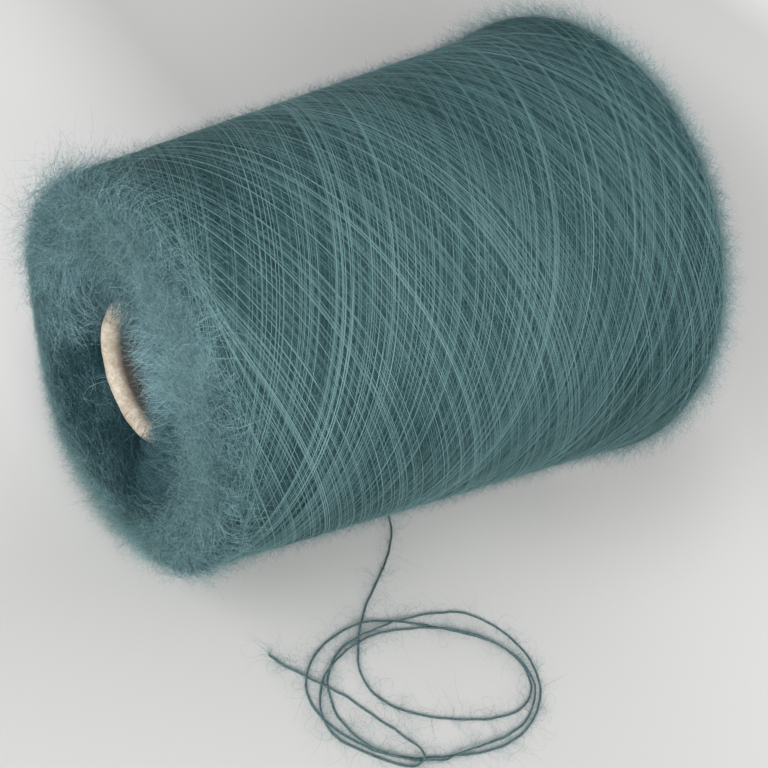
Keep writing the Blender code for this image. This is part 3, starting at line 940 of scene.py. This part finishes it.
# ------------------------------------------------------------
# Stage
# ------------------------------------------------------------
FLOOR_HALF = 40.0
LAMPS_FACE = (0.0, 0.0, 0.05)
WORLD_LIGHT = 0.20      # strength of the studio's ambient light
WORLD_SEEN = 0.98       # and of the same backdrop where the camera sees it


def backdrop_rays(nodes, links):
    """1 for the rays that see the backdrop: the camera's, and those that gloss and glass send on."""
    path = nodes.new("ShaderNodeLightPath").outputs
    seen = math_node(nodes, links, "MAXIMUM", path["Is Camera Ray"], path["Is Glossy Ray"])
    return math_node(nodes, links, "MAXIMUM", seen, path["Is Transmission Ray"])


def make_floor():
    corners = FLOOR_HALF * np.array([[-1, -1, 0], [1, -1, 0], [1, 1, 0], [-1, 1, 0]], float)
    floor = new_mesh("floor", corners, np.array([[0, 1, 2, 3]]), smooth=False)
    material, nodes, links, shader = new_material("pale_floor", 0.7, 0.2)
    shader.inputs["Base Color"].default_value = (0.72, 0.716, 0.704, 1.0)
    # Away from the object the camera sees the floor lighter, as a backdrop, and nearer in it sees pools of
    # painted light and a painted soft shadow
    place = nodes.new("ShaderNodeTexCoord").outputs["Object"]
    split = nodes.new("ShaderNodeSeparateXYZ")
    links.new(place, split.inputs[0])

    def rising(value, low, high):
        node = nodes.new("ShaderNodeMapRange")
        node.interpolation_type = "SMOOTHSTEP"
        node.inputs["From Min"].default_value = low
        node.inputs["From Max"].default_value = high
        links.new(value, node.inputs["Value"])
        return node.outputs["Result"]

    def away(spot, near, far):
        node = nodes.new("ShaderNodeVectorMath")
        node.operation = "DISTANCE"
        node.inputs[1].default_value = spot
        links.new(place, node.inputs[0])
        return rising(node.outputs["Value"], near, far)

    def product(first, second, *more):
        total = math_node(nodes, links, "MULTIPLY", first, second)
        return product(total, *more) if more else total

    # Painted light on the floor right of the object, kept off the base end's own shadow, with a painted soft
    # shadow behind the object
    right = product(away((0.10, 0.0, 0.0), 0.05, 0.11), away((0.25, 0.12, 0.0), 0.05, 0.24),
                    rising(split.outputs["X"], -0.05, 0.16), 0.17)
    # Painted light on the floor behind and left of the nose end
    left = product(rising(split.outputs["Y"], -0.03, 0.08),
                   rising(math_node(nodes, links, "MULTIPLY", split.outputs["X"], -1.0), -0.10, 0.02), 0.25)
    around = product(away((0.0, 0.0, 0.0), 0.38, 1.10), 0.85)
    backdrop_and_painted_light = math_node(nodes, links, "MAXIMUM", math_node(nodes, links, "MAXIMUM", right, left), around)
    shader.inputs["Emission Color"].default_value = (1.0, 1.0, 1.0, 1.0)
    links.new(product(backdrop_and_painted_light, backdrop_rays(nodes, links)), shader.inputs["Emission Strength"])
    floor.data.materials.append(material)


def area_light(name, place, size, energy, colour=(1.0, 1.0, 1.0)):
    """Soft light that faces the object. size is a disc's diameter or a panel's width and height."""
    light = bpy.data.lights.new(name, "AREA")
    if isinstance(size, tuple):
        light.shape = "RECTANGLE"
        light.size, light.size_y = size
    else:
        light.shape = "DISK"
        light.size = size
    light.energy = energy
    light.color = colour
    lamp = bpy.data.objects.new(name, light)
    SCENE.collection.objects.link(lamp)
    lamp.location = place
    lamp.rotation_euler = (Vector(LAMPS_FACE) - Vector(place)).to_track_quat("-Z", "Y").to_euler()
    lamp.visible_camera = False


make_floor()
area_light("front", (-0.44, -0.58, 0.46), (0.8, 0.30), 5.4, (1.0, 0.99, 0.975))
area_light("top", (0.0, -0.31, 1.20), 0.7, 0.4)
area_light("left", (-0.98, 0.20, 0.60), 0.8, 6.3)
area_light("right", (1.25, -0.25, 0.26), 0.8, 7.0)
world = bpy.data.worlds.new("studio")
world.use_nodes = True
nodes, links = world.node_tree.nodes, world.node_tree.links
nodes["Background"].inputs["Color"].default_value = (0.97, 0.98, 1.0, 1.0)
seen = backdrop_rays(nodes, links)
strength = math_node(nodes, links, "MULTIPLY_ADD", seen, WORLD_SEEN - WORLD_LIGHT, WORLD_LIGHT)
links.new(strength, nodes["Background"].inputs["Strength"])
SCENE.world = world
SCENE.view_settings.view_transform = "Standard"
